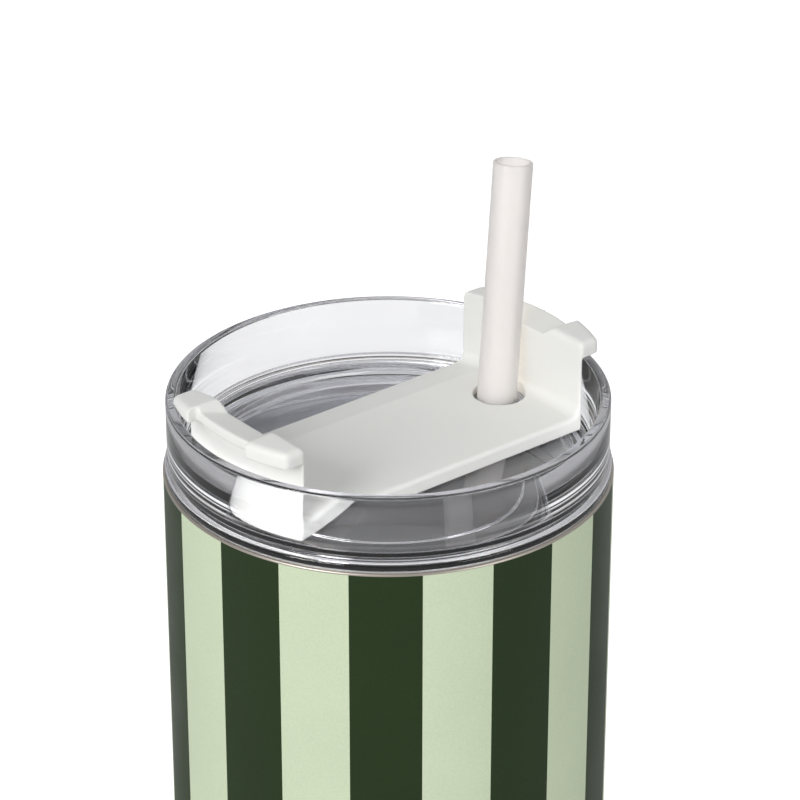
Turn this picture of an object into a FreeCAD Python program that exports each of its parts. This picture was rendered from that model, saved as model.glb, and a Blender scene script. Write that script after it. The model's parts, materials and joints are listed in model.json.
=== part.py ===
import math
import os

import FreeCAD
import Part
import Sketcher

# Insulated tumbler with a clear push-in lid, a rotating cover and a drinking straw.
# Millimetres, +Z up, origin at the centre of the base. Every wall of revolution is a
# profile of (radius, height) points; each coordinate is a cell of the "Dims" sheet.

doc = FreeCAD.newDocument("InsulatedTumbler")
sheet = doc.addObject("Spreadsheet::Sheet", "Dims")

# ---------------------------------------------------------------- driving dimensions
DRIVING = [
    # tumbler
    ("rim_height", 195.0, "height of the tumbler's rim above the base"),
    ("body_rad", 49.0, "outer radius of the upper body"),
    ("base_rad", 37.0, "outer radius of the narrow base that enters a cup holder"),
    ("base_height", 62.0, "top of the narrow base, where the cone starts"),
    ("cone_height", 20.0, "height of the cone between base and body"),
    ("corner_round", 9.0, "outer radius of the two bends beside the cone"),
    ("steel_wall", 0.7, "thickness of every steel wall"),
    ("vacuum_gap", 2.3, "gap between the inner and outer wall"),
    ("floor_height", 14.0, "height of the drinking cup's floor"),
    ("floor_round", 8.0, "outer radius between the cup's floor and wall"),
    ("edge_round", 0.5, "rounding of the steel rim"),
    # base
    ("seam_height", 3.0, "height of the seam between shell and base cap"),
    ("bottom_height", 7.0, "height of the welded bottom of the vacuum space"),
    ("cap_recess", 2.0, "depth of the recess under the base cap"),
    ("foot_width", 7.0, "width of the ring that the tumbler stands on"),
    ("foot_round", 1.8, "rounding of the foot's outer edge"),
    ("cap_flange", 2.5, "height of the cap's flange inside the shell"),
    ("evac_rad", 2.0, "radius of the evacuation hole"),
    ("bead_rad", 4.5, "radius of the sealing bead under the evacuation hole"),
    ("bead_height", 1.2, "thickness of the sealing bead"),
    # inside the vacuum
    ("foil_gap", 0.05, "gap between the liner and its foil"),
    ("foil_thickness", 0.15, "thickness of the reflective foil"),
    ("foil_margin", 12.0, "bare liner above and below the foil"),
    ("getter_offset", 19.0, "distance of the getter from the axis"),
    ("getter_rad", 5.5, "radius of the getter tablet"),
    ("getter_height", 1.6, "thickness of the getter tablet"),
    ("holder_wall", 0.5, "wall of the getter's holder"),
    # clear lid; heights are measured from the tumbler's rim
    ("lid_rise", 17.1, "height of the lid above the tumbler's rim"),
    ("flange_inset", 0.4, "distance of the flange's edge inside the tumbler's outer wall"),
    ("flange_thickness", 1.8, "thickness of that flange"),
    ("band_groove", 1.3, "height of the groove above the flange"),
    ("band_groove_depth", 1.7, "depth of that groove, from the flange's edge"),
    ("ring_inset", 0.6, "distance of the ring's outer wall inside the flange's edge"),
    ("ring_wall", 2.3, "thickness of the ring at the lid's top"),
    ("recess_taper", 2.0, "narrowing of the recess from its mouth to its floor"),
    ("recess_depth", 14.2, "depth of the recess"),
    ("lid_floor", 2.5, "thickness of the lid's floor"),
    ("rib_width", 2.4, "width of the thick ring under the floor, inside the skirt"),
    ("rib_height", 1.2, "height of that thick ring"),
    ("skirt_gap", 1.7, "gap between the skirt and the cup's wall"),
    ("skirt_wall", 2.4, "thickness of the skirt"),
    ("skirt_depth", 12.5, "depth of the skirt below the rim"),
    ("lid_edge_round", 0.6, "rounding of the lid's edges"),
    ("gasket_depth", 1.3, "depth of the gasket's groove in the skirt"),
    ("gasket_height", 6.0, "height of the gasket"),
    ("gasket_top", 3.2, "distance of the gasket's groove below the rim"),
    ("fin_thickness", 1.2, "thickness of a sealing fin"),
    ("fin_gap", 0.1, "clearance between a fin and the cup's wall"),
    # drinking opening in the lid's floor
    ("opening_inset", 6.7, "distance of the opening's outer edge from the recess's wall"),
    ("opening_gap", 1.65, "gap between the straw and the opening's long edges"),
    ("opening_half_angle", 22.0, "angle from the opening's middle to its end arcs"),
    # rotating cover; its long axis is turned about Z
    ("cover_turn", 39.0, "angle of the cover's long axis from X"),
    ("cover_gap", 0.3, "gap between the cover and the lid's floor"),
    ("bar_half_width", 19.8, "half width of the bar"),
    ("bar_thickness", 3.4, "thickness of the bar"),
    ("bevel_width", 8.0, "width of the bevel along one long edge of the bar"),
    ("bevel_fall", 1.5, "fall of that bevel at the edge"),
    ("cover_end_gap", 0.6, "gap between the cover's ends and the recess's wall"),
    ("end_wall", 5.3, "thickness of the end walls at their middle"),
    ("grip_low", 3.5, "height of the grips' underside above the lid"),
    ("grip_high", 7.1, "height of the grips' top above the lid"),
    ("grip_reach", 1.5, "reach of the grips over the lid's ring"),
    ("grip_step", 2.5, "step back of the wall between the grips"),
    ("grip_slope_width", 11.0, "width of the slope on the grips of the bevelled side"),
    ("grip_slope_fall", 1.9, "fall of that slope at the grips' ends"),
    ("grip_corner", 1.6, "rounding of the grips' upright corners"),
    ("grip_top_round", 1.4, "rounding of the grips' top corners"),
    ("scoop_half_width", 9.8, "half width of the thumb scoop between two grips"),
    ("scoop_depth", 2.5, "depth of the scoop at its inner edge"),
    ("scoop_slope", 3.2, "narrowing of the scoop from its top to its bottom, each side"),
    ("wall_fillet", 2.4, "fillet between bar and end wall"),
    ("cover_round", 0.8, "rounding of the cover's edges"),
    ("straw_hole_offset", 0.6, "distance of the straw hole outside the opening's middle line"),
    ("straw_hole_gap", 1.45, "gap between the straw and its hole"),
    # pivot of the cover
    ("pin_rad", 4.0, "radius of the pivot pin"),
    ("pin_clearance", 0.06, "running clearance of the pin in the lid's floor"),
    ("pin_shoulder", 1.0, "depth of the pin's neck that the retainer grips"),
    ("pin_tip", 1.2, "length of the pin's head below the retainer"),
    ("retainer_rad", 8.0, "outer radius of the retainer"),
    ("retainer_height", 1.6, "thickness of the retainer"),
    ("washer_rad", 7.2, "outer radius of the pivot's seal"),
    ("washer_height", 0.8, "thickness of the pivot's seal"),
    ("washer_gap", 0.1, "gap between that seal and the lid's floor"),
    # seals under the cover
    ("pad_overlap", 2.5, "overlap of a pad's straight edge past the opening"),
    ("pad_side", 0.8, "distance of a sealing pad from the bar's long edges"),
    ("pad_margin", 1.7, "distance of a sealing pad from the cover's end"),
    ("pad_depth", 1.4, "depth of the pocket that holds a pad"),
    ("pad_gap", 0.1, "gap between a pad and the lid's floor"),
    # straw
    ("straw_rad", 4.35, "outer radius of the straw"),
    ("straw_wall", 0.8, "wall of the straw"),
    ("straw_above", 52.3, "height of the straw's top above the bar"),
    ("straw_lean_x", 3.4, "lean of the straw towards +X, degrees"),
    ("straw_lean_y", 8.6, "lean of the straw towards +Y, degrees"),
    ("straw_shift", 0.5, "distance of the straw from the hole's centre, towards -X"),
    ("straw_floor_gap", 0.4, "gap between the straw's end and the cup's floor"),
]

# ---------------------------------------------------------------- dimensions worked out from them
DERIVED = [
    ("axis_line", "0"),
    ("base_plane", "0"),
    # a wall parallel to the outer surface, moved inward by D, bends higher by bend_shift * D
    ("bend_shift", "tan(atan((body_rad - base_rad) / cone_height) / 2)"),
    ("cone_top", "base_height + cone_height"),
    ("wall_in_base", "base_rad - steel_wall"),
    ("wall_in_body", "body_rad - steel_wall"),
    ("wall_in_low", "base_height + bend_shift * steel_wall"),
    ("wall_in_high", "cone_top + bend_shift * steel_wall"),
    ("liner_out", "steel_wall + vacuum_gap"),
    ("liner_in", "2 * steel_wall + vacuum_gap"),
    ("liner_out_base", "base_rad - liner_out"),
    ("liner_out_body", "body_rad - liner_out"),
    ("liner_out_low", "base_height + bend_shift * liner_out"),
    ("liner_out_high", "cone_top + bend_shift * liner_out"),
    ("liner_in_base", "base_rad - liner_in"),
    ("liner_in_body", "body_rad - liner_in"),
    ("liner_in_low", "base_height + bend_shift * liner_in"),
    ("liner_in_high", "cone_top + bend_shift * liner_in"),
    ("lip_low", "rim_height - steel_wall"),
    ("floor_low", "floor_height - steel_wall"),
    ("floor_round_in", "floor_round - steel_wall"),
    ("wall_round_low", "corner_round + steel_wall"),
    ("wall_round_high", "corner_round - steel_wall"),
    ("liner_round_low", "corner_round + liner_out"),
    ("liner_round_high", "corner_round - liner_out"),
    ("cup_round_low", "corner_round + liner_in"),
    ("cup_round_high", "corner_round - liner_in"),
    # foil around the liner
    ("foil_in", "liner_out - foil_gap"),
    ("foil_out", "foil_in - foil_thickness"),
    ("foil_in_base", "base_rad - foil_in"),
    ("foil_in_body", "body_rad - foil_in"),
    ("foil_in_low", "base_height + bend_shift * foil_in"),
    ("foil_in_high", "cone_top + bend_shift * foil_in"),
    ("foil_out_base", "base_rad - foil_out"),
    ("foil_out_body", "body_rad - foil_out"),
    ("foil_out_low", "base_height + bend_shift * foil_out"),
    ("foil_out_high", "cone_top + bend_shift * foil_out"),
    ("foil_round_low", "corner_round + foil_in"),
    ("foil_round_high", "corner_round - foil_in"),
    ("foil_round_low_out", "corner_round + foil_out"),
    ("foil_round_high_out", "corner_round - foil_out"),
    ("foil_bottom", "floor_height + foil_margin"),
    ("foil_top", "rim_height - foil_margin"),
    # base
    ("bottom_high", "bottom_height + steel_wall"),
    ("bottom_skirt_rad", "base_rad - 2 * steel_wall"),
    ("cap_flange_rad", "base_rad - 3 * steel_wall"),
    ("cap_flange_high", "seam_height + cap_flange"),
    ("foot_in", "base_rad - foot_width"),
    ("foot_wall", "foot_in + steel_wall"),
    ("recess_high", "cap_recess + steel_wall"),
    ("bead_low", "bottom_height - bead_height"),
    ("holder_rad", "getter_rad + holder_wall"),
    ("getter_low", "bottom_high + holder_wall"),
    ("holder_height", "holder_wall + getter_height"),
    # lid
    ("lid_top", "rim_height + lid_rise"),
    ("flange_high", "rim_height + flange_thickness"),
    ("groove_high", "flange_high + band_groove"),
    ("recess_low", "lid_top - recess_depth"),
    ("lid_floor_low", "recess_low - lid_floor"),
    ("rib_low", "lid_floor_low - rib_height"),
    ("skirt_low", "rim_height - skirt_depth"),
    ("flange_rad", "body_rad - flange_inset"),
    ("band_groove_rad", "flange_rad - band_groove_depth"),
    ("ring_rad", "flange_rad - ring_inset"),
    ("ring_mouth_rad", "ring_rad - ring_wall"),
    ("recess_rad", "ring_mouth_rad - recess_taper"),
    ("skirt_rad", "liner_in_body - skirt_gap"),
    ("skirt_in", "skirt_rad - skirt_wall"),
    ("rib_rad", "skirt_in - rib_width"),
    ("opening_half_width", "straw_rad + opening_gap"),
    ("opening_circle", "recess_rad - opening_inset - opening_half_width"),
    ("gasket_in", "skirt_rad - gasket_depth"),
    ("gasket_high", "rim_height - gasket_top"),
    ("gasket_low", "gasket_high - gasket_height"),
    ("fin_rad", "liner_in_body - fin_gap"),
    ("fin_mid_low", "gasket_low + fin_thickness"),
    ("fin_mid_high", "gasket_high - fin_thickness"),
    ("pin_hole_rad", "pin_rad + pin_clearance"),
    ("pin_neck_rad", "pin_rad - pin_shoulder"),
    # cover, in its own frame: z = 0 is the bar's underside
    ("cover_low", "recess_low + cover_gap"),
    ("cover_lid_top", "lid_top - cover_low"),
    ("cover_end_rad", "recess_rad - cover_end_gap"),
    ("wall_chord", "cover_end_rad - end_wall"),
    ("grip_rad", "ring_mouth_rad + grip_reach"),
    ("grip_middle_rad", "grip_rad - grip_step"),
    ("straw_hole_circle", "opening_circle + straw_hole_offset"),
    ("straw_hole_rad", "straw_rad + straw_hole_gap"),
    ("pad_inner", "opening_circle - opening_half_width - pad_overlap"),
    ("pad_half_width", "bar_half_width - pad_side"),
    ("pad_rad", "cover_end_rad - pad_margin"),
    ("grip_start", "cover_lid_top + grip_low"),
    ("grip_height", "grip_high - grip_low"),
    ("grip_end", "cover_lid_top + grip_high"),
    ("blank_end", "grip_rad + cover_round"),
    ("ring_cut_rad", "2 * grip_rad"),
    ("scoop_low", "grip_end - scoop_depth"),
    ("scoop_shallow", "grip_end - cover_round / 2"),
    ("scoop_above", "grip_end + scoop_depth"),
    ("scoop_floor_half", "scoop_half_width - scoop_slope"),
    ("scoop_mouth_half", "scoop_half_width + scoop_slope"),
    ("bevel_start", "bar_half_width - bevel_width"),
    ("bevel_edge", "bar_thickness - bevel_fall"),
    ("slope_start", "bar_half_width - grip_slope_width"),
    ("slope_edge", "grip_end - grip_slope_fall"),
    ("washer_high", "lid_floor_low - washer_gap - cover_low"),
    ("washer_low", "washer_high - washer_height"),
    ("retainer_low", "washer_low - retainer_height"),
    ("pin_low", "retainer_low - pin_tip"),
    ("pad_low", "pad_gap - cover_gap"),
    ("pad_height", "pad_depth + cover_gap - pad_gap"),
    # straw
    ("bar_top", "cover_low + bar_thickness"),
    ("straw_bore", "straw_rad - straw_wall"),
]

for row, (alias, number, meaning) in enumerate(DRIVING, start=1):
    sheet.set("A%d" % row, alias)
    sheet.set("B%d" % row, repr(number))
    sheet.set("C%d" % row, meaning)
    sheet.setAlias("B%d" % row, alias)
for row, (alias, formula) in enumerate(DERIVED, start=len(DRIVING) + 1):
    sheet.set("A%d" % row, alias)
    sheet.set("B%d" % row, "=" + formula)
    sheet.setAlias("B%d" % row, alias)
doc.recompute()

PARTS = []           # the sub-parts, in the order they are made


def dim(alias):
    """The present value of a cell."""
    return float(sheet.get(alias))


def origin_plane(body, role):
    """One of the body's own origin planes, such as XY_Plane."""
    return [f for f in body.Origin.OriginFeatures if f.Role == role][0]


def new_body(label):
    body = doc.addObject("PartDesign::Body", label)
    body.Label = label
    PARTS.append(body)
    return body


def new_sketch(body, name, role, height=None):
    """A sketch on one of the body's origin planes, raised by a cell if one is given."""
    sketch = body.newObject("Sketcher::SketchObject", body.Label + "_" + name)
    sketch.AttachmentSupport = [(origin_plane(body, role), "")]
    sketch.MapMode = "FlatFace"
    if height:
        sketch.setExpression("AttachmentOffset.Base.z", "Dims." + height)
    return sketch


def bind(sketch, kind, geo, point, expression, value):
    """Holds one coordinate of a sketch point at a cell's value."""
    if abs(value) < 1e-9:
        axis = -2 if kind == "DistanceX" else -1
        sketch.addConstraint(Sketcher.Constraint("PointOnObject", geo, point, axis))
        return
    index = sketch.addConstraint(Sketcher.Constraint(kind, -1, 1, geo, point, value))
    sketch.setExpression("Constraints[%d]" % index, expression)


def polygon(sketch, points, signs=None):
    """A closed outline whose corners are pairs of cells, mirrored where signs say so."""
    signs = signs or [(1, 1)] * len(points)
    numbers = [(sx * dim(a), sy * dim(b)) for (a, b), (sx, sy) in zip(points, signs)]
    first = sketch.GeometryCount
    for i, start in enumerate(numbers):
        end = numbers[(i + 1) % len(numbers)]
        line = Part.LineSegment(FreeCAD.Vector(*start, 0), FreeCAD.Vector(*end, 0))
        sketch.addGeometry(line, False)
    count = len(numbers)
    for i in range(count):
        after = first + (i + 1) % count
        sketch.addConstraint(Sketcher.Constraint("Coincident", first + i, 2, after, 1))
    for i, ((a, b), (sx, sy)) in enumerate(zip(points, signs)):
        text = {1: "Dims.", -1: "-Dims."}
        bind(sketch, "DistanceX", first + i, 1, text[sx] + a, numbers[i][0])
        bind(sketch, "DistanceY", first + i, 1, text[sy] + b, numbers[i][1])


def revolved(label, points):
    """A body turned about Z from (radius, height) cells."""
    body = new_body(label)
    sketch = new_sketch(body, "profile", "XZ_Plane")
    polygon(sketch, points)
    turn = body.newObject("PartDesign::Revolution", label + "_turn")
    turn.Profile = sketch
    turn.ReferenceAxis = (sketch, ["V_Axis"])
    turn.Angle = 360.0
    doc.recompute()
    return body


def pad(body, sketch, name, length):
    feature = body.newObject("PartDesign::Pad", body.Label + "_" + name)
    feature.Profile = sketch
    feature.setExpression("Length", length)
    return feature


def pocket(body, sketch, name, length, upward=False):
    """A cut below the sketch, or above it; it must remove material."""
    doc.recompute()
    before = body.Shape.Volume
    feature = body.newObject("PartDesign::Pocket", body.Label + "_" + name)
    feature.Profile = sketch
    feature.setExpression("Length", length)
    feature.Reversed = upward
    doc.recompute()
    if feature.Shape.isNull() or body.Shape.Volume >= before - 1e-6:
        raise RuntimeError(feature.Label + " cuts nothing")


def edges_where(shape, test):
    """Names of the edges whose ends and middle all pass the test."""
    names = []
    for i, edge in enumerate(shape.Edges, start=1):
        middle = edge.valueAt((edge.FirstParameter + edge.LastParameter) / 2)
        if all(test(point) for point in [middle] + [v.Point for v in edge.Vertexes]):
            names.append("Edge%d" % i)
    return names


def fillet(body, name, edges, radius):
    if not edges:
        raise RuntimeError(body.Label + " has no edge for " + name)
    base = body.Tip
    feature = body.newObject("PartDesign::Fillet", body.Label + "_" + name)
    feature.Base = (base, edges)
    feature.setExpression("Radius", "Dims." + radius)
    doc.recompute()
    return feature


def round_ring(body, name, corners, radius):
    """Rounds the circular edges at the given (radius, height) cells."""
    places = [(dim(a), dim(b)) for a, b in corners]

    def on_ring(point):
        return any(abs(math.hypot(point.x, point.y) - r) < 1e-4 and abs(point.z - z) < 1e-4
                   for r, z in places)

    fillet(body, name, edges_where(body.Shape, on_ring), radius)


# ---------------------------------------------------------------- steel tumbler
def make_outer_shell():
    body = revolved("outer_shell", [
        ("base_rad", "seam_height"), ("base_rad", "base_height"), ("body_rad", "cone_top"),
        ("body_rad", "rim_height"), ("wall_in_body", "rim_height"), ("wall_in_body", "wall_in_high"),
        ("wall_in_base", "wall_in_low"), ("wall_in_base", "seam_height")])
    round_ring(body, "low_bend", [("base_rad", "base_height")], "corner_round")
    round_ring(body, "high_bend", [("body_rad", "cone_top")], "corner_round")
    round_ring(body, "low_bend_inside", [("wall_in_base", "wall_in_low")], "wall_round_low")
    round_ring(body, "high_bend_inside", [("wall_in_body", "wall_in_high")], "wall_round_high")
    round_ring(body, "rim", [("body_rad", "rim_height")], "edge_round")


def make_inner_liner():
    """The drinking cup, whose lip turns out over the vacuum gap to the outer shell."""
    body = revolved("inner_liner", [
        ("axis_line", "floor_low"), ("liner_out_base", "floor_low"),
        ("liner_out_base", "liner_out_low"), ("liner_out_body", "liner_out_high"),
        ("liner_out_body", "lip_low"), ("wall_in_body", "lip_low"), ("wall_in_body", "rim_height"),
        ("liner_in_body", "rim_height"), ("liner_in_body", "liner_in_high"),
        ("liner_in_base", "liner_in_low"), ("liner_in_base", "floor_height"),
        ("axis_line", "floor_height")])
    round_ring(body, "floor_outside", [("liner_out_base", "floor_low")], "floor_round")
    round_ring(body, "floor_inside", [("liner_in_base", "floor_height")], "floor_round_in")
    round_ring(body, "low_bend", [("liner_out_base", "liner_out_low")], "liner_round_low")
    round_ring(body, "high_bend", [("liner_out_body", "liner_out_high")], "liner_round_high")
    round_ring(body, "low_bend_inside", [("liner_in_base", "liner_in_low")], "cup_round_low")
    round_ring(body, "high_bend_inside", [("liner_in_body", "liner_in_high")], "cup_round_high")
    round_ring(body, "lip", [("liner_in_body", "rim_height")], "edge_round")


def make_reflective_foil():
    body = revolved("reflective_foil", [
        ("foil_in_base", "foil_bottom"), ("foil_out_base", "foil_bottom"),
        ("foil_out_base", "foil_out_low"), ("foil_out_body", "foil_out_high"),
        ("foil_out_body", "foil_top"), ("foil_in_body", "foil_top"),
        ("foil_in_body", "foil_in_high"), ("foil_in_base", "foil_in_low")])
    round_ring(body, "low_bend", [("foil_in_base", "foil_in_low")], "foil_round_low")
    round_ring(body, "high_bend", [("foil_in_body", "foil_in_high")], "foil_round_high")
    round_ring(body, "low_outside", [("foil_out_base", "foil_out_low")], "foil_round_low_out")
    round_ring(body, "high_outside", [("foil_out_body", "foil_out_high")], "foil_round_high_out")


def make_outer_bottom():
    """Closes the vacuum space; its skirt is welded inside the outer shell."""
    revolved("outer_bottom", [
        ("evac_rad", "bottom_height"), ("bottom_skirt_rad", "bottom_height"),
        ("bottom_skirt_rad", "seam_height"), ("wall_in_base", "seam_height"),
        ("wall_in_base", "bottom_high"), ("evac_rad", "bottom_high")])


def make_vacuum_seal():
    revolved("vacuum_seal", [
        ("axis_line", "bead_low"), ("bead_rad", "bead_low"), ("bead_rad", "bottom_height"),
        ("evac_rad", "bottom_height"), ("evac_rad", "bottom_high"), ("axis_line", "bottom_high")])


def make_base_cap():
    body = revolved("base_cap", [
        ("axis_line", "cap_recess"), ("foot_in", "cap_recess"), ("foot_in", "base_plane"),
        ("base_rad", "base_plane"), ("base_rad", "seam_height"), ("bottom_skirt_rad", "seam_height"),
        ("bottom_skirt_rad", "cap_flange_high"), ("cap_flange_rad", "cap_flange_high"),
        ("cap_flange_rad", "steel_wall"), ("foot_wall", "steel_wall"),
        ("foot_wall", "recess_high"), ("axis_line", "recess_high")])
    round_ring(body, "foot", [("base_rad", "base_plane")], "foot_round")
    round_ring(body, "recess_edge", [("foot_in", "base_plane")], "edge_round")


def cylinder(name, radius, height, low):
    shape = doc.addObject("Part::Cylinder", name)
    shape.setExpression("Radius", "Dims." + radius)
    shape.setExpression("Height", "Dims." + height)
    shape.setExpression("Placement.Base.x", "Dims.getter_offset")
    shape.setExpression("Placement.Base.z", "Dims." + low)
    return shape


def make_getter():
    """The gas-absorbing tablet and the small steel holder spot-welded to the outer bottom."""
    holder = doc.addObject("Part::Cut", "getter_holder")
    holder.Label = "getter_holder"
    holder.Base = cylinder("holder_cup", "holder_rad", "holder_height", "bottom_high")
    holder.Tool = cylinder("holder_hollow", "getter_rad", "holder_height", "getter_low")
    tablet = cylinder("getter", "getter_rad", "getter_height", "getter_low")
    tablet.Label = "getter"
    PARTS.extend([holder, tablet])


# ---------------------------------------------------------------- clear lid and its gasket
def arc_about_axis(sketch, radius, start, end):
    """An arc of a cell's radius centred on the sketch's origin, from one angle to another."""
    circle = Part.Circle(FreeCAD.Vector(0, 0, 0), FreeCAD.Vector(0, 0, 1), dim(radius))
    geo = sketch.addGeometry(Part.ArcOfCircle(circle, start, end), False)
    sketch.addConstraint(Sketcher.Constraint("Coincident", geo, 3, -1, 1))
    index = sketch.addConstraint(Sketcher.Constraint("Radius", geo, dim(radius)))
    sketch.setExpression("Constraints[%d]" % index, "Dims." + radius)
    return geo


def curved_slot(sketch):
    """The opening's outline about +X: two arcs about the axis, closed by two round ends."""
    middle, half = dim("opening_circle"), dim("opening_half_width")
    sweep = math.radians(dim("opening_half_angle"))

    def arc(centre, radius, start, end):
        circle = Part.Circle(FreeCAD.Vector(*centre, 0), FreeCAD.Vector(0, 0, 1), radius)
        return sketch.addGeometry(Part.ArcOfCircle(circle, start, end), False)

    outer = arc((0, 0), middle + half, -sweep, sweep)
    inner = arc((0, 0), middle - half, -sweep, sweep)
    top = arc((middle * math.cos(sweep), middle * math.sin(sweep)), half, sweep, sweep + math.pi)
    low = arc((middle * math.cos(sweep), -middle * math.sin(sweep)), half, math.pi - sweep, -sweep)
    for geo in (outer, inner):
        sketch.addConstraint(Sketcher.Constraint("Coincident", geo, 3, -1, 1))
    for first, a, second, b in ((outer, 2, top, 1), (top, 2, inner, 2),
                                (inner, 1, low, 1), (low, 2, outer, 1)):
        sketch.addConstraint(Sketcher.Constraint("Tangent", first, a, second, b))
    for geo, text, value in ((outer, "Dims.opening_circle + Dims.opening_half_width", middle + half),
                             (inner, "Dims.opening_circle - Dims.opening_half_width", middle - half)):
        index = sketch.addConstraint(Sketcher.Constraint("Radius", geo, value))
        sketch.setExpression("Constraints[%d]" % index, text)
    for geo, sign in ((top, 1), (low, -1)):
        value = sign * middle * math.sin(sweep)
        index = sketch.addConstraint(Sketcher.Constraint("DistanceY", -1, 1, geo, 3, value))
        text = "%d * Dims.opening_circle * sin(Dims.opening_half_angle * 1 deg)" % sign
        sketch.setExpression("Constraints[%d]" % index, text)


def make_lid_body():
    body = revolved("lid_body", [
        ("pin_hole_rad", "lid_floor_low"), ("rib_rad", "lid_floor_low"), ("rib_rad", "rib_low"),
        ("skirt_in", "rib_low"), ("skirt_in", "skirt_low"), ("skirt_rad", "skirt_low"),
        ("skirt_rad", "gasket_low"), ("gasket_in", "gasket_low"), ("gasket_in", "gasket_high"),
        ("skirt_rad", "gasket_high"), ("skirt_rad", "rim_height"), ("flange_rad", "rim_height"),
        ("flange_rad", "flange_high"), ("band_groove_rad", "flange_high"),
        ("band_groove_rad", "groove_high"), ("ring_rad", "groove_high"), ("ring_rad", "lid_top"),
        ("ring_mouth_rad", "lid_top"), ("recess_rad", "recess_low"), ("pin_hole_rad", "recess_low")])
    sketch = new_sketch(body, "opening", "XY_Plane", "lid_top")
    curved_slot(sketch)
    pocket(body, sketch, "opening_cut", "Dims.lid_rise + Dims.skirt_depth")
    round_ring(body, "edges", [
        ("ring_rad", "lid_top"), ("ring_mouth_rad", "lid_top"), ("recess_rad", "recess_low"),
        ("flange_rad", "flange_high"), ("flange_rad", "rim_height"), ("ring_rad", "groove_high"),
        ("skirt_rad", "skirt_low"), ("skirt_in", "skirt_low")], "lid_edge_round")
    body.Placement = FreeCAD.Placement(
        FreeCAD.Vector(), FreeCAD.Rotation(FreeCAD.Vector(0, 0, 1), dim("cover_turn")))


def make_lid_gasket():
    """A silicone ring with two sealing fins, in the skirt's groove."""
    revolved("lid_gasket", [
        ("gasket_in", "gasket_low"), ("fin_rad", "gasket_low"), ("fin_rad", "fin_mid_low"),
        ("skirt_rad", "fin_mid_low"), ("skirt_rad", "fin_mid_high"), ("fin_rad", "fin_mid_high"),
        ("fin_rad", "gasket_high"), ("gasket_in", "gasket_high")])


# ---------------------------------------------------------------- rotating cover
def place_on_cover(body):
    """Cover pieces are drawn with the bar along X and z = 0 at its underside."""
    body.Placement = FreeCAD.Placement(
        FreeCAD.Vector(0, 0, dim("cover_low")),
        FreeCAD.Rotation(FreeCAD.Vector(0, 0, 1), dim("cover_turn")))


def end_outline(sketch, side, chord, half, radius):
    """A straight edge at x = chord, two sides at y = +-half and an arc about the axis."""
    edge, top, rim = side * dim(chord), dim(half), dim(radius)
    meet = side * math.sqrt(rim ** 2 - top ** 2)
    corners = [(meet, top), (edge, top), (edge, -top), (meet, -top)]
    geos = [sketch.addGeometry(Part.LineSegment(FreeCAD.Vector(*p, 0), FreeCAD.Vector(*q, 0)), False)
            for p, q in zip(corners, corners[1:])]
    angle = math.atan2(top, abs(meet))
    start = -angle if side > 0 else math.pi - angle
    arc = arc_about_axis(sketch, radius, start, start + 2 * angle)
    low_end, high_end = (1, 2) if side > 0 else (2, 1)
    joins = [(geos[0], 2, geos[1], 1), (geos[1], 2, geos[2], 1),
             (geos[2], 2, arc, low_end), (arc, high_end, geos[0], 1)]
    for first, end, second, start_point in joins:
        sketch.addConstraint(Sketcher.Constraint("Coincident", first, end, second, start_point))
    text = {1: "Dims.", -1: "-Dims."}
    for point, sign in ((1, 1), (2, -1)):
        bind(sketch, "DistanceX", geos[1], point, text[side] + chord, edge)
        bind(sketch, "DistanceY", geos[1], point, text[sign] + half, sign * top)
    bind(sketch, "DistanceY", geos[0], 1, "Dims." + half, top)
    bind(sketch, "DistanceY", geos[2], 2, "-Dims." + half, -top)


def circle_outline(sketch, radius, centre=None):
    """A circle of a cell's radius, at the origin or at a cell's distance along X."""
    x = dim(centre) if centre else 0.0
    circle = Part.Circle(FreeCAD.Vector(x, 0, 0), FreeCAD.Vector(0, 0, 1), dim(radius))
    geo = sketch.addGeometry(circle, False)
    if centre:
        bind(sketch, "DistanceX", geo, 3, "Dims." + centre, x)
        sketch.addConstraint(Sketcher.Constraint("PointOnObject", geo, 3, -1))
    else:
        sketch.addConstraint(Sketcher.Constraint("Coincident", geo, 3, -1, 1))
    index = sketch.addConstraint(Sketcher.Constraint("Radius", geo, dim(radius)))
    sketch.setExpression("Constraints[%d]" % index, "Dims." + radius)


def cut_outside(body, name, radius, length, height=None):
    """Removes what lies outside a radius, upward from a height."""
    sketch = new_sketch(body, name, "XY_Plane", height)
    circle_outline(sketch, radius)
    circle_outline(sketch, "ring_cut_rad")
    pocket(body, sketch, name + "_cut", "Dims." + length, upward=True)


def cut_slope(body, name, inner, outer, length):
    """Cuts a wedge off one long side, from an inner to a lower outer (Y, Z) point."""
    sketch = new_sketch(body, name, "YZ_Plane")
    polygon(sketch, [inner, outer, (outer[0], inner[1])])
    cut = body.newObject("PartDesign::Pocket", name + "_cut")
    cut.Profile = sketch
    cut.Midplane = True
    cut.setExpression("Length", length)
    doc.recompute()


def cut_scoop(body, side):
    """A thumb scoop, deep at the wall's flat face and shallow at its outer edge."""
    profiles = []
    for name, place, low, half in (("deep", "wall_chord", "scoop_low", "scoop_floor_half"),
                                   ("shallow", "blank_end", "scoop_shallow", "scoop_half_width")):
        sketch = new_sketch(body, "scoop_%s_%s" % (name, "far" if side > 0 else "near"), "YZ_Plane")
        sketch.setExpression("AttachmentOffset.Base.z", "%d * Dims.%s" % (side, place))
        polygon(sketch, [(half, low), ("scoop_mouth_half", "scoop_above"),
                         ("scoop_mouth_half", "scoop_above"), (half, low)],
                [(1, 1), (1, 1), (-1, 1), (-1, 1)])
        profiles.append(sketch)
    doc.recompute()
    loft = body.newObject("PartDesign::SubtractiveLoft", "cover_scoop_%s" % ("far" if side > 0 else "near"))
    loft.Profile = profiles[0]
    loft.Sections = profiles[1:]
    loft.Ruled = True
    doc.recompute()


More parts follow.
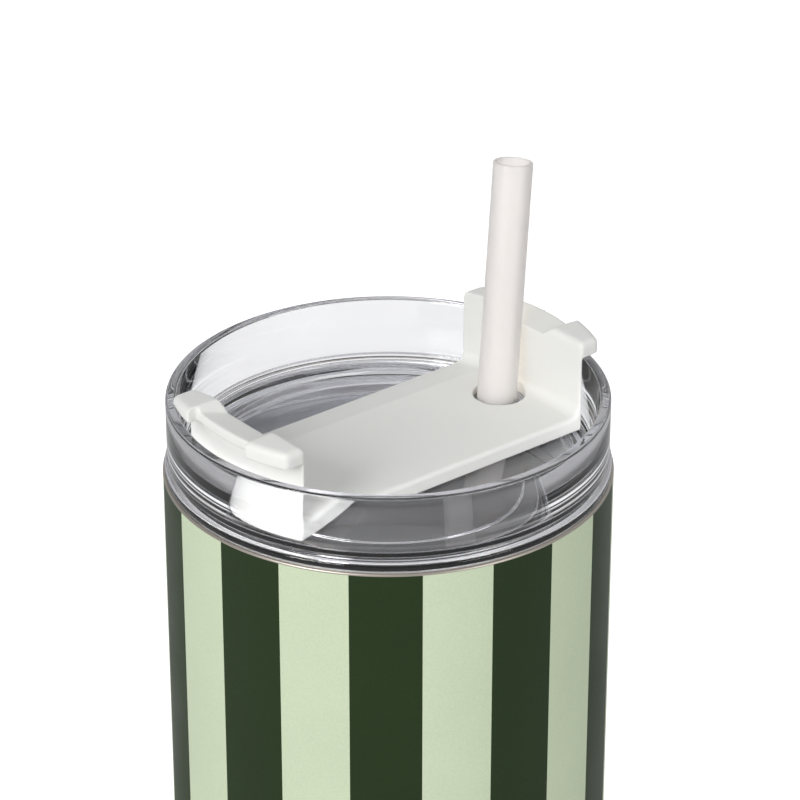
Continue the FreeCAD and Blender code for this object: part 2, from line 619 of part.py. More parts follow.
def make_cover():
    """A flat bar with an upright wall at each end, cut from one channel."""
    body = new_body("cover")
    sketch = new_sketch(body, "channel", "XZ_Plane")
    half = [("blank_end", "base_plane"), ("blank_end", "grip_end"), ("wall_chord", "grip_end"),
            ("wall_chord", "bar_thickness")]
    polygon(sketch, half + list(reversed(half)), [(1, 1)] * len(half) + [(-1, 1)] * len(half))
    channel = pad(body, sketch, "channel_pad", "2 * Dims.bar_half_width")
    channel.Midplane = True
    doc.recompute()
    chord, thick, side = dim("wall_chord"), dim("bar_thickness"), dim("bar_half_width")
    near = 1e-4
    cut_slope(body, "bar_bevel", ("bevel_start", "bar_thickness"), ("bar_half_width", "bevel_edge"),
              "2 * Dims.wall_chord")
    fillet(body, "inside_corner", edges_where(
        body.Shape, lambda p: abs(abs(p.x) - chord) < near and near < p.z < thick + near),
        "wall_fillet")
    fillet(body, "long_edge", edges_where(
        body.Shape, lambda p: abs(p.x) < chord + near and p.z > thick - near
        and abs(p.y + side) < near), "cover_round")
    # inside the recess the ends follow its wall; above the lid they carry the grips
    cut_outside(body, "trim", "cover_end_rad", "grip_start")
    cut_outside(body, "grip_trim", "grip_rad", "grip_height", "grip_start")
    start, reach = dim("grip_start"), dim("grip_rad")
    fillet(body, "grip_corners", edges_where(
        body.Shape, lambda p: p.z > start - near and abs(abs(p.y) - side) < near
        and abs(math.hypot(p.x, p.y) - reach) < near), "grip_corner")
    sketch = new_sketch(body, "grip_gap", "XY_Plane", "grip_start")
    for end in (1, -1):
        end_outline(sketch, end, "blank_end", "scoop_half_width", "grip_middle_rad")
    pocket(body, sketch, "grip_gap_cut", "Dims.grip_height", upward=True)
    cut_slope(body, "grip_slope", ("slope_start", "grip_end"), ("bar_half_width", "slope_edge"),
              "2 * Dims.blank_end")
    edge_low = dim("slope_edge")
    fillet(body, "grip_tops", edges_where(
        body.Shape, lambda p: p.z > edge_low - near and abs(abs(p.y) - side) < near), "grip_top_round")
    for end in (1, -1):
        cut_scoop(body, end)
    # straw hole, and pockets for the sealing pads
    sketch = new_sketch(body, "hole", "XY_Plane")
    circle_outline(sketch, "straw_hole_rad", "straw_hole_circle")
    pocket(body, sketch, "hole_cut", "2 * Dims.bar_thickness", upward=True)
    sketch = new_sketch(body, "pad_pockets", "XY_Plane")
    for end in (1, -1):
        end_outline(sketch, end, "pad_inner", "pad_half_width", "pad_rad")
    pocket(body, sketch, "pad_pocket", "Dims.pad_depth", upward=True)
    # pivot pin with the neck that the retainer grips
    sketch = new_sketch(body, "pin", "XZ_Plane")
    polygon(sketch, [
        ("axis_line", "pin_low"), ("pin_rad", "pin_low"), ("pin_rad", "retainer_low"),
        ("pin_neck_rad", "retainer_low"), ("pin_neck_rad", "washer_low"), ("pin_rad", "washer_low"),
        ("pin_rad", "base_plane"), ("axis_line", "base_plane")])
    pin = body.newObject("PartDesign::Revolution", "cover_pin")
    pin.Profile = sketch
    pin.ReferenceAxis = (sketch, ["V_Axis"])
    pin.Angle = 360.0
    doc.recompute()
    place_on_cover(body)


def make_pad(label, side):
    """A flat silicone pad in the bar's underside; the one at the straw has its hole."""
    body = new_body(label)
    sketch = new_sketch(body, "outline", "XY_Plane", "pad_low")
    end_outline(sketch, side, "pad_inner", "pad_half_width", "pad_rad")
    if side > 0:
        circle_outline(sketch, "straw_hole_rad", "straw_hole_circle")
    pad(body, sketch, "pad", "Dims.pad_height")
    doc.recompute()
    place_on_cover(body)


def make_pivot_pieces():
    washer = revolved("pivot_seal", [
        ("pin_rad", "washer_low"), ("washer_rad", "washer_low"),
        ("washer_rad", "washer_high"), ("pin_rad", "washer_high")])
    retainer = revolved("pivot_retainer", [
        ("pin_neck_rad", "retainer_low"), ("retainer_rad", "retainer_low"),
        ("retainer_rad", "washer_low"), ("pin_neck_rad", "washer_low")])
    for body in (washer, retainer):
        place_on_cover(body)


# ---------------------------------------------------------------- straw
def straw_axis():
    """Unit direction of the straw, and the point where it crosses the top of the bar."""
    lean = FreeCAD.Vector(math.tan(math.radians(dim("straw_lean_x"))),
                          math.tan(math.radians(dim("straw_lean_y"))), 1.0)
    turn = math.radians(dim("cover_turn"))
    hole = FreeCAD.Vector(math.cos(turn), math.sin(turn), 0) * dim("straw_hole_circle")
    crossing = hole + FreeCAD.Vector(-dim("straw_shift"), 0, dim("bar_top"))
    return lean.normalize(), crossing


def make_straw():
    """A plain tube that stands on the cup's floor and leans in the cover's hole."""
    direction, crossing = straw_axis()
    lowest = dim("floor_height") + dim("straw_floor_gap")
    tilt = math.acos(direction.z)
    start_z = lowest + dim("straw_rad") * math.sin(tilt)
    end_z = dim("bar_top") + dim("straw_above")
    sheet_row = len(DRIVING) + len(DERIVED) + 1
    sheet.set("A%d" % sheet_row, "straw_length")
    sheet.set("B%d" % sheet_row, repr((end_z - start_z) / direction.z))
    sheet.setAlias("B%d" % sheet_row, "straw_length")
    doc.recompute()
    body = revolved("straw", [
        ("straw_bore", "base_plane"), ("straw_rad", "base_plane"),
        ("straw_rad", "straw_length"), ("straw_bore", "straw_length")])
    foot = crossing + direction * ((start_z - crossing.z) / direction.z)
    body.Placement = FreeCAD.Placement(
        foot, FreeCAD.Rotation(FreeCAD.Vector(0, 0, 1), direction))


make_outer_shell()
make_inner_liner()
make_reflective_foil()
make_outer_bottom()
make_vacuum_seal()
make_base_cap()
make_getter()
make_lid_body()
make_lid_gasket()
make_cover()
make_pad("straw_seal", 1)
make_pad("closure_seal", -1)
make_pivot_pieces()
make_straw()
doc.recompute()

# ---------------------------------------------------------------- checks and files
for item in doc.Objects:
    if "Invalid" in item.State or "Error" in item.State:
        raise RuntimeError("%s is %s" % (item.Label, item.State))
for part in PARTS:
    if part.Shape.isNull() or not part.Shape.isValid():
        raise RuntimeError(part.Label + " has no valid shape")
    if len(part.Shape.Solids) != 1:
        raise RuntimeError(part.Label + " is not one solid")

os.makedirs("parts", exist_ok=True)
for part in PARTS:
    part.Shape.exportStep(os.path.join("parts", part.Label + ".step"))
    print("%-16s %10.1f mm3" % (part.Label, part.Shape.Volume))
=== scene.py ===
import json
import math

import bmesh
import bpy
from mathutils import Matrix, Vector


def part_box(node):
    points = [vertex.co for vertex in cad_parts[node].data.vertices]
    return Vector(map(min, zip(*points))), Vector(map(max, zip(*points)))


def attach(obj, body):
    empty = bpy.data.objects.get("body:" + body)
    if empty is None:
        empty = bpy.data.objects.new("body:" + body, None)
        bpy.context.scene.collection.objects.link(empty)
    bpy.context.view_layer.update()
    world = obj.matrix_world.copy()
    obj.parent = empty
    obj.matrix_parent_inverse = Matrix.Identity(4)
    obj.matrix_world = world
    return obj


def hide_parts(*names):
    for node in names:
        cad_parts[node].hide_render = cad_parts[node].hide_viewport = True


# The looks of an insulated tumbler: striped painted steel, a clear push-in lid, a white
# rotating cover and a frosted straw. Lengths are metres, and every place comes from the frame.

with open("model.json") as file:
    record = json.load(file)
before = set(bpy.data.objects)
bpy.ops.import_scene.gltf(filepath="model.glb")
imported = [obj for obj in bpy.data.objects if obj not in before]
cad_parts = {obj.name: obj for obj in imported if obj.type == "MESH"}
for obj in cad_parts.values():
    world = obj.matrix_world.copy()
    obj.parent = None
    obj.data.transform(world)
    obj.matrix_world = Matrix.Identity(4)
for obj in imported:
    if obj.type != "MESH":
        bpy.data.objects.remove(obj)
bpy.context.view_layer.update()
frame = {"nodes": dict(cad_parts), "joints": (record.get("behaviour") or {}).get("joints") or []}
MM = 0.001
RINGS = 240                     # segments round a turned piece, a multiple of the stripes
PLAIN_RINGS = 192               # the same for a piece with no stripes or cuts
STRAW_RINGS = 96


def low(node):
    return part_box(node)[0]


def high(node):
    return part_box(node)[1]


# ---------------------------------------------------------------- sizes, from the frame
BODY_R = high("outer_shell").x
BASE_R = high("base_cap").x
RIM_Z = high("outer_shell").z
SEAM_Z = low("outer_shell").z
LID_TOP = high("lid_body").z
SKIRT_Z = low("lid_body").z
CUP_FLOOR = low("inner_liner").z

# sizes that no box gives, as designed
STEEL = 0.7 * MM                # wall of the steel shells
GAP = 2.3 * MM                  # vacuum gap between them
CUP_FLOOR_R = 8 * MM            # outer radius between the cup's floor and its wall
CUP_LIP_R = 0.5 * MM
BASE_TOP = 62 * MM              # top of the narrow base
CONE_TOP = 82 * MM              # top of the cone above it
BEND_R = 9 * MM                 # outer radius of the bends beside the cone
FOOT_WIDTH = 7 * MM             # ring that the tumbler stands on
FOOT_HEIGHT = 2 * MM
COVER_TURN = math.radians(39)   # the cover's long axis, from X
RECESS_DEPTH = 14.2 * MM
LID_FLOOR = 2.5 * MM
FLOOR_TOP = LID_TOP - RECESS_DEPTH
FLOOR_LOW = FLOOR_TOP - LID_FLOOR
PIN_HOLE_R = 4.06 * MM
RECESS_R = 43.7 * MM            # the recess at its floor
MOUTH_R = 45.7 * MM             # the recess at the top
RING_R = 48.0 * MM
BAND_R = 46.9 * MM              # the groove between the ring and the flange
BAND_LOW = 1.8 * MM             # from the rim to the groove, and to its top
BAND_TOP = 3.1 * MM
FLANGE_R = 48.6 * MM
SKIRT_R = 43.6 * MM
SKIRT_IN_R = 41.2 * MM
RIB_R = 38.8 * MM               # where the floor steps down to the skirt
RIB_DROP = 1.2 * MM
GASKET_SEAT = 1.3 * MM          # depth of the gasket's groove
GASKET_DEPTH = 1.25 * MM        # of the gasket in it
GASKET_FIN = 1.2 * MM           # thickness of each fin
OPENING_CIRCLE = 31 * MM        # middle of the curved drinking opening, from the lid's axis
OPENING_HALF = 6 * MM           # half its width
OPENING_SWEEP = math.radians(22)
SEAT_GAP = 0.03 * MM            # air between the lid and what it rests on or holds


# ---------------------------------------------------------------- shapes
def rounded(corners, steps=6):
    """A closed outline of (x, y, radius) corners, each replaced by its tangent arc."""
    outline = []
    count = len(corners)
    for i, (x, y, radius) in enumerate(corners):
        here = Vector((x, y))
        if radius <= 0:
            outline.append(here)
            continue
        before = (Vector(corners[i - 1][:2]) - here).normalized()
        after = (Vector(corners[(i + 1) % count][:2]) - here).normalized()
        half = before.angle(after) / 2
        reach = radius / math.tan(half)
        centre = here + (before + after).normalized() * (radius / math.sin(half))
        start, end = here + before * reach - centre, here + after * reach - centre
        sweep = start.angle_signed(end)
        for k in range(steps + 1):
            spoke = start.copy()
            spoke.rotate(Matrix.Rotation(-sweep * k / steps, 2))
            outline.append(centre + spoke)
    return outline


def lathe(name, corners, rings=RINGS, steps=6, turn=0.0):
    """A closed solid turned about Z from its outline in the radius-height plane."""
    outline = rounded(corners, steps)
    mesh = bmesh.new()
    loops = []
    for point in outline:
        if point.x < 1e-7:
            loops.append([mesh.verts.new((0, 0, point.y))] * rings)
            continue
        angles = [turn + 2 * math.pi * k / rings for k in range(rings)]
        loops.append([mesh.verts.new((point.x * math.cos(a), point.x * math.sin(a), point.y))
                      for a in angles])
    for one, other in zip(loops, loops[1:] + loops[:1]):
        for k in range(rings):
            n = (k + 1) % rings
            around = list(dict.fromkeys([one[k], one[n], other[n], other[k]]))
            if len(around) > 2:
                mesh.faces.new(around)
    bmesh.ops.recalc_face_normals(mesh, faces=mesh.faces)
    data = bpy.data.meshes.new(name)
    mesh.to_mesh(data)
    mesh.free()
    piece = bpy.data.objects.new(name, data)
    bpy.context.scene.collection.objects.link(piece)
    smooth(piece)
    return piece


def smooth(piece, angle=35):
    """Smooth shading that keeps edges sharper than the angle."""
    for face in piece.data.polygons:
        face.use_smooth = True
    piece.data.set_sharp_from_angle(angle=math.radians(angle))


def apply_modifiers(piece):
    graph = bpy.context.evaluated_depsgraph_get()
    data = bpy.data.meshes.new_from_object(piece.evaluated_get(graph))
    piece.modifiers.clear()
    piece.data = data


def wall_line(inward, base, top):
    """Corners of the tumbler's side moved inward, from the base up, with its two bends."""
    lean = math.atan((BODY_R - BASE_R) / (CONE_TOP - BASE_TOP))
    rise = inward * math.tan(lean / 2)
    return [(BASE_R - inward, base, 0), (BASE_R - inward, BASE_TOP + rise, BEND_R + inward),
            (BODY_R - inward, CONE_TOP + rise, BEND_R - inward), (BODY_R - inward, top, 0)]


# ---------------------------------------------------------------- materials
class Shader:
    """A material whose Principled shader takes colour, roughness and bump from nodes."""

    def __init__(self, name, **values):
        self.material = bpy.data.materials.new(name)
        self.material.use_nodes = True
        self.tree = self.material.node_tree
        self.shader = self.tree.nodes["Principled BSDF"]
        for socket, value in values.items():
            self.shader.inputs[socket.replace("_", " ")].default_value = value

    def node(self, kind, inputs=None, **settings):
        made = self.tree.nodes.new("ShaderNode" + kind)
        for key, value in settings.items():
            setattr(made, key, value)
        for key, value in (inputs or {}).items():
            self.put(made.inputs[key], value)
        return made

    def put(self, socket, value):
        if isinstance(value, bpy.types.NodeSocket):
            self.tree.links.new(value, socket)
        else:
            socket.default_value = value

    def place(self):
        return self.node("TexCoord").outputs["Object"]

    def noise(self, scale, detail=4.0, rough=0.5, at=None):
        made = self.node("TexNoise", {"Scale": scale, "Detail": detail, "Roughness": rough,
                                      "Vector": at or self.place()})
        return made.outputs["Fac"]

    def math(self, operation, a, b=0.0):
        return self.node("Math", {0: a, 1: b}, operation=operation).outputs[0]

    def ramp(self, factor, low_value, high_value, start=0.0, end=1.0):
        made = self.node("MapRange", {"Value": factor, "From Min": start, "From Max": end,
                                      "To Min": low_value, "To Max": high_value})
        return made.outputs["Result"]

    def blend(self, factor, one, other):
        made = self.node("Mix", {0: factor, 6: (*one, 1.0), 7: (*other, 1.0)}, data_type="RGBA")
        return made.outputs[2]

    def round_axis(self):
        """Angle, height and radius of a point about Z, for marks that run round."""
        parts = self.node("SeparateXYZ", {0: self.place()})
        x, y, z = parts.outputs
        angle = self.math("ARCTAN2", y, x)
        radius = self.math("SQRT", self.math("ADD", self.math("MULTIPLY", x, x),
                                             self.math("MULTIPLY", y, y)))
        return angle, z, radius

    def bump(self, height, distance, strength=1.0):
        made = self.node("Bump", {"Height": height, "Distance": distance, "Strength": strength})
        self.put(self.shader.inputs["Normal"], made.outputs["Normal"])

    def set(self, socket, value):
        self.put(self.shader.inputs[socket], value)

    def let_lamps_through(self, tint):
        """Lamps light what is behind the surface, dimmed by the tint at each face."""
        out = self.tree.nodes["Material Output"]
        lamp = self.node("LightPath").outputs["Is Shadow Ray"]
        pane = self.node("BsdfTransparent", {"Color": (*tint, 1.0)})
        mixed = self.node("MixShader", {0: lamp, 1: self.shader.outputs[0],
                                        2: pane.outputs[0]})
        self.tree.links.new(mixed.outputs[0], out.inputs["Surface"])


def painted(name, colour, spread, grain):
    """Satin powder coat: a fine pebbled skin with slight mottling, by spread, and grain high."""
    coat = Shader(name, IOR=1.5, Specular_IOR_Level=0.18)
    fleck = coat.noise(2600, 3.0, 0.6)
    cloud = coat.noise(45, 3.0, 0.5)
    mixed = coat.math("ADD", coat.math("MULTIPLY", fleck, 0.7), coat.math("MULTIPLY", cloud, 0.3))
    dark = tuple(c * (1 - spread) for c in colour)
    light = tuple(min(1.0, c * (1 + spread)) for c in colour)
    coat.set("Base Color", coat.blend(coat.ramp(mixed, 0, 1, 0.3, 0.7), dark, light))
    coat.set("Roughness", coat.ramp(cloud, 0.38, 0.47, 0.3, 0.7))
    coat.bump(coat.noise(1500, 2.0, 0.5), grain)
    return coat.material


def brushed_steel(name, colour, rough, metallic=1.0):
    """Stainless steel with fine turning marks that run round the axis."""
    steel = Shader(name, Metallic=metallic)
    angle, height, radius = steel.round_axis()
    at = steel.node("CombineXYZ", {0: steel.math("MULTIPLY", angle, 1.2),
                                   1: steel.math("MULTIPLY", height, 3500),
                                   2: steel.math("MULTIPLY", radius, 3500)}).outputs[0]
    marks = steel.noise(1.0, 3.0, 0.6, at)
    stain = steel.noise(40, 3.0, 0.5)
    dark = tuple(c * 0.86 for c in colour)
    steel.set("Base Color", steel.blend(marks, dark, colour))
    steel.set("Roughness", steel.math("ADD", steel.ramp(marks, rough * 0.8, rough * 1.25),
                                      steel.ramp(stain, -0.03, 0.03)))
    steel.bump(marks, 0.02 * MM, 0.6)
    return steel.material


def clear_plastic():
    """Polished clear copolyester, with a faint moulding ripple and hairline scuffs."""
    clear = Shader("clear_plastic", Base_Color=(0.972, 0.972, 0.990, 1), IOR=1.54,
                   Transmission_Weight=1.0)
    ripple = clear.noise(38, 2.0, 0.4)
    scuffs = clear.noise(420, 4.0, 0.75)
    clear.set("Roughness", clear.ramp(scuffs, 0.004, 0.05, 0.5, 0.8))
    clear.bump(ripple, 0.05 * MM, 0.35)
    clear.let_lamps_through((0.98, 0.98, 0.985))
    return clear.material


def white_plastic():
    """Matt white polypropylene with a fine spark-eroded grain and a little light inside."""
    white = Shader("white_plastic", IOR=1.49, Subsurface_Weight=0.12,
                   Subsurface_Radius=(1.0, 0.9, 0.75), Subsurface_Scale=1.2 * MM)
    cloud = white.noise(60, 3.0, 0.5)
    grain = white.noise(3800, 2.0, 0.6)
    white.set("Base Color", white.blend(cloud, (0.775, 0.775, 0.742), (0.805, 0.805, 0.774)))
    white.set("Roughness", white.ramp(grain, 0.44, 0.58, 0.3, 0.7))
    white.bump(grain, 0.012 * MM, 0.6)
    return white.material


def frosted_plastic():
    """Milky translucent polypropylene of the straw, with drawing lines along it."""
    milk = Shader("straw_plastic", IOR=1.49, Transmission_Weight=0.5, Subsurface_Weight=0.6,
                  Subsurface_Radius=(1.0, 0.95, 0.9), Subsurface_Scale=3 * MM)
    lines = milk.node("Mapping", {"Vector": milk.place(), "Scale": (900, 900, 12)})
    drawn = milk.noise(1.0, 3.0, 0.6, lines.outputs[0])
    cloud = milk.noise(35, 2.0, 0.5)
    milk.set("Base Color", milk.blend(cloud, (0.845, 0.820, 0.803), (0.875, 0.850, 0.833)))
    milk.set("Roughness", milk.ramp(drawn, 0.28, 0.42, 0.3, 0.7))
    milk.bump(drawn, 0.02 * MM, 0.4)
    milk.let_lamps_through((0.90, 0.885, 0.87))
    return milk.material


def silicone():
    """Cloudy translucent silicone rubber with a dusty skin."""
    rubber = Shader("silicone", IOR=1.41, Transmission_Weight=0.35)
    dust = rubber.noise(900, 4.0, 0.6)
    rubber.set("Base Color", rubber.blend(dust, (0.62, 0.63, 0.66), (0.74, 0.75, 0.78)))
    rubber.set("Roughness", rubber.ramp(dust, 0.38, 0.6, 0.3, 0.7))
    rubber.bump(dust, 0.02 * MM, 0.5)
    return rubber.material


def foil():
    """Thin bright copper foil with sharp creases between flat cells."""
    sheet = Shader("copper_foil", Metallic=1.0, Roughness=0.22)
    crease = sheet.node("TexVoronoi", {"Scale": 90.0, "Vector": sheet.place()},
                        feature="DISTANCE_TO_EDGE").outputs["Distance"]
    sheet.set("Base Color", sheet.blend(sheet.noise(60), (0.66, 0.33, 0.19), (0.80, 0.45, 0.29)))
    sheet.bump(crease, 0.2 * MM, 0.5)
    return sheet.material


def sintered(name, colour, rough):
    """A dull pressed or fused metal, for the getter and the sealing bead."""
    metal = Shader(name, Metallic=0.7)
    pores = metal.noise(1800, 4.0, 0.7)
    light = tuple(min(1.0, c * 1.5) for c in colour)
    metal.set("Base Color", metal.blend(pores, colour, light))
    metal.set("Roughness", metal.ramp(pores, rough - 0.12, rough + 0.12, 0.3, 0.7))
    metal.bump(pores, 0.05 * MM, 0.8)
    return metal.material


DARK_GREEN = painted("paint_dark_green", (0.0155, 0.0315, 0.0080), 0.16, 0.010 * MM)
PALE_GREEN = painted("paint_pale_green", (0.560, 0.640, 0.455), 0.07, 0.022 * MM)
STEEL_INSIDE = brushed_steel("steel", (0.84, 0.835, 0.84), 0.42, 0.85)
STEEL_BASE = brushed_steel("polished_base", (0.66, 0.655, 0.64), 0.22)
# The rim's bare steel is real, but its colour is darker and browner than the other steel: painted
# shade of the gap under the lid's flange.
STEEL_RIM_SHADED = brushed_steel("rim_steel_shaded", (0.50, 0.455, 0.40), 0.35)
CLEAR = clear_plastic()
WHITE = white_plastic()
FROSTED = frosted_plastic()
SILICONE = silicone()
COPPER = foil()
GETTER = sintered("getter_alloy", (0.10, 0.10, 0.105), 0.7)
BEAD = sintered("seal_bead", (0.16, 0.16, 0.17), 0.45)


def dress(piece, materials, body, node):
    """Gives a piece its materials and its body, and hides the CAD node that it stands for."""
    piece.data.materials.clear()
    for material in materials:
        piece.data.materials.append(material)
    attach(piece, body)
    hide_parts(node)


# ---------------------------------------------------------------- tumbler
STRIPES = 20
STRIPE_SHIFT = 0.71             # degrees from -Y to the middle of the dark stripe there
STRIPE_TURN = math.radians(-90 - STRIPE_SHIFT - 180 / STRIPES)    # an edge of that stripe
BARE_RIM = 0.55 * MM            # unpainted steel at the rim


def make_shell():
    """The painted outer wall. Stripes are faces of their own, so their edges stay crisp."""
    outside = wall_line(0.0, SEAM_Z, RIM_Z - BARE_RIM)
    inside = wall_line(STEEL, SEAM_Z, RIM_Z)
    rim = [(BODY_R, RIM_Z, 0.45 * MM)]
    shell = lathe("striped_shell", outside + rim + list(reversed(inside)), RINGS, 10, STRIPE_TURN)
    dress(shell, [DARK_GREEN, PALE_GREEN, STEEL_RIM_SHADED], "tumbler", "outer_shell")
    sweep = 2 * math.pi / STRIPES
    for face in shell.data.polygons:
        centre = face.center
        stripe = int(((math.atan2(centre.y, centre.x) - STRIPE_TURN) % (2 * math.pi)) / sweep)
        # the bare rim band takes the darkened rim steel, which is painted shade of the gap under
        # the lid
        face.material_index = 2 if centre.z > RIM_Z - BARE_RIM else stripe % 2


def make_liner():
    """The steel drinking cup, with its lip over the vacuum gap."""
    outer, inner = STEEL + GAP, 2 * STEEL + GAP
    out_line = wall_line(outer, CUP_FLOOR, RIM_Z - STEEL)
    in_line = wall_line(inner, CUP_FLOOR + STEEL, RIM_Z)
    out_line[0] = (*out_line[0][:2], CUP_FLOOR_R)
    in_line[0] = (*in_line[0][:2], CUP_FLOOR_R - STEEL)
    in_line[-1] = (*in_line[-1][:2], CUP_LIP_R)
    lip = [(BODY_R - STEEL, RIM_Z - STEEL, 0), (BODY_R - STEEL, RIM_Z, 0)]
    corners = [(0, CUP_FLOOR, 0)] + out_line + lip + list(reversed(in_line))
    corners.append((0, CUP_FLOOR + STEEL, 0))
    liner = lathe("steel_cup", corners, PLAIN_RINGS, 8)
    dress(liner, [STEEL_INSIDE], "tumbler", "inner_liner")


def make_base():
    """The spun cap that the tumbler stands on, recessed in the middle."""
    foot_in = BASE_R - FOOT_WIDTH
    recess = FOOT_HEIGHT
    flange = high("base_cap").z
    corners = [(0, recess, 0), (foot_in, recess, 0.5 * MM), (foot_in, 0, 0.5 * MM),
               (BASE_R, 0, 1.8 * MM), (BASE_R, SEAM_Z, 0.15 * MM), (BASE_R - 2 * STEEL, SEAM_Z, 0),
               (BASE_R - 2 * STEEL, flange, 0), (BASE_R - 3 * STEEL, flange, 0),
               (BASE_R - 3 * STEEL, STEEL, 0), (foot_in + STEEL, STEEL, 0),
               (foot_in + STEEL, recess + STEEL, 0), (0, recess + STEEL, 0)]
    base = lathe("spun_base", corners, PLAIN_RINGS, 6)
    dress(base, [STEEL_BASE], "tumbler", "base_cap")


# ---------------------------------------------------------------- lid
def lid_corners():
    """The clear lid's section: floor, skirt with the gasket's groove, flange and ring."""
    edge = 0.6 * MM
    gasket_low, gasket_top = low("lid_gasket").z - SEAT_GAP, high("lid_gasket").z + SEAT_GAP
    flange_low = RIM_Z + SEAT_GAP
    groove_r = SKIRT_R - GASKET_SEAT
    rib_low = FLOOR_LOW - RIB_DROP
    return [
        (PIN_HOLE_R, FLOOR_LOW, 0), (RIB_R, FLOOR_LOW, 0.25 * MM), (RIB_R, rib_low, 0.25 * MM),
        (SKIRT_IN_R, rib_low, 0.4 * MM), (SKIRT_IN_R, SKIRT_Z, edge), (SKIRT_R, SKIRT_Z, edge),
        (SKIRT_R, gasket_low, 0.15 * MM), (groove_r, gasket_low, 0.15 * MM),
        (groove_r, gasket_top, 0.15 * MM), (SKIRT_R, gasket_top, 0.15 * MM),
        (SKIRT_R, flange_low, 0.3 * MM), (FLANGE_R, flange_low, edge),
        (FLANGE_R, RIM_Z + BAND_LOW, edge), (BAND_R, RIM_Z + BAND_LOW, 0.3 * MM),
        (BAND_R, RIM_Z + BAND_TOP, 0.3 * MM), (RING_R, RIM_Z + BAND_TOP, edge),
        (RING_R, LID_TOP, edge), (MOUTH_R, LID_TOP, edge), (RECESS_R, FLOOR_TOP, edge),
        (PIN_HOLE_R, FLOOR_TOP, 0)]


def opening_cutter():
    """A prism of the curved drinking opening, about the cover's long axis."""
    middle, half, sweep = OPENING_CIRCLE, OPENING_HALF, OPENING_SWEEP
    below, height = 5 * MM, 14 * MM
    steps = 24
    outline = []
    for k in range(steps + 1):
        a = -sweep + 2 * sweep * k / steps
        outline.append(((middle + half) * math.cos(a), (middle + half) * math.sin(a)))
    for k in range(1, steps):
        a = sweep + math.pi * k / steps
        outline.append((middle * math.cos(sweep) + half * math.cos(a),
                        middle * math.sin(sweep) + half * math.sin(a)))
    for k in range(steps + 1):
        a = sweep - 2 * sweep * k / steps
        outline.append(((middle - half) * math.cos(a), (middle - half) * math.sin(a)))
    for k in range(1, steps):
        a = math.pi - sweep + math.pi * k / steps
        outline.append((middle * math.cos(sweep) + half * math.cos(a),
                        -middle * math.sin(sweep) + half * math.sin(a)))
    mesh = bmesh.new()
    bottom = [mesh.verts.new((x, y, FLOOR_LOW - below)) for x, y in outline]
    face = mesh.faces.new(bottom)
    made = bmesh.ops.extrude_face_region(mesh, geom=[face])
    top = [v for v in made["geom"] if isinstance(v, bmesh.types.BMVert)]
    bmesh.ops.translate(mesh, verts=top, vec=(0, 0, height))
    bmesh.ops.rotate(mesh, verts=mesh.verts, matrix=Matrix.Rotation(COVER_TURN, 3, "Z"))
    bmesh.ops.recalc_face_normals(mesh, faces=mesh.faces)
    data = bpy.data.meshes.new("opening_cutter")
    mesh.to_mesh(data)
    mesh.free()
    cutter = bpy.data.objects.new("opening_cutter", data)
    bpy.context.scene.collection.objects.link(cutter)
    return cutter


def make_lid():
    lid = lathe("clear_lid", lid_corners(), RINGS, 6)
    cutter = opening_cutter()
    cut = lid.modifiers.new("opening", "BOOLEAN")
    cut.object = cutter
    cut.solver = "EXACT"
    apply_modifiers(lid)
    bpy.data.objects.remove(cutter)
    smooth(lid)
    dress(lid, [CLEAR], "lid", "lid_body")


def make_gasket():
    """The silicone ring: a body in the skirt's groove and two sealing fins."""
    inner = SKIRT_R - GASKET_DEPTH
    fin_r = high("lid_gasket").x
    bottom, top = low("lid_gasket").z, high("lid_gasket").z
    low_fin, high_fin = bottom + GASKET_FIN, top - GASKET_FIN
    corners = [(inner, bottom, 0.3 * MM), (fin_r, bottom, 0.35 * MM), (fin_r, low_fin, 0.5 * MM),
               (SKIRT_R, low_fin, 0.4 * MM), (SKIRT_R, high_fin, 0.4 * MM),
               (fin_r, high_fin, 0.35 * MM), (fin_r, top, 0.5 * MM), (inner, top, 0.3 * MM)]
    gasket = lathe("ring_gasket", corners, PLAIN_RINGS, 5)
    dress(gasket, [SILICONE], "lid", "lid_gasket")


# ---------------------------------------------------------------- cover
def make_cover():
    """The moulded cover: the frame's solid, with every edge softened as a mould leaves it."""
    source = frame["nodes"]["cover"]
    cover = bpy.data.objects.new("moulded_cover", source.data.copy())
    bpy.context.scene.collection.objects.link(cover)
    cover.data.transform(Matrix.Rotation(-COVER_TURN, 4, "Z"))
    fine = cover.modifiers.new("fine", "REMESH")
    fine.mode = "VOXEL"
    fine.voxel_size = 0.30 * MM
    soften = cover.modifiers.new("soften", "SMOOTH")
    soften.factor = 0.5
    soften.iterations = 6
    apply_modifiers(cover)
    cover.data.transform(Matrix.Rotation(COVER_TURN, 4, "Z"))
    for face in cover.data.polygons:
        face.use_smooth = True
    dress(cover, [WHITE], "cover", "cover")


# ---------------------------------------------------------------- straw
def make_straw():
    """A frosted tube along the frame's straw axis, with rounded lips."""
    joint = next(j for j in frame["joints"] if j["name"] == "straw_lift")
    axis = Vector(joint["axis"]).normalized()
    verts = [v.co for v in frame["nodes"]["straw"].data.vertices]
    along = [v.dot(axis) for v in verts]
    start, end = min(along), max(along)
    off_axis = [v - axis * a for v, a in zip(verts, along)]
    centre = sum(off_axis, Vector()) / len(off_axis)
    outer = max((p - centre).length for p in off_axis)
    inner = min((p - centre).length for p in off_axis)
    length = end - start
    lip = 0.3 * MM
    corners = [(inner, 0, lip), (outer, 0, lip), (outer, length, lip), (inner, length, lip)]
    straw = lathe("frosted_straw", corners, STRAW_RINGS, 6)
    turn = Vector((0, 0, 1)).rotation_difference(axis).to_matrix().to_4x4()
    straw.data.transform(Matrix.Translation(centre + axis * start) @ turn)
    dress(straw, [FROSTED], "straw", "straw")


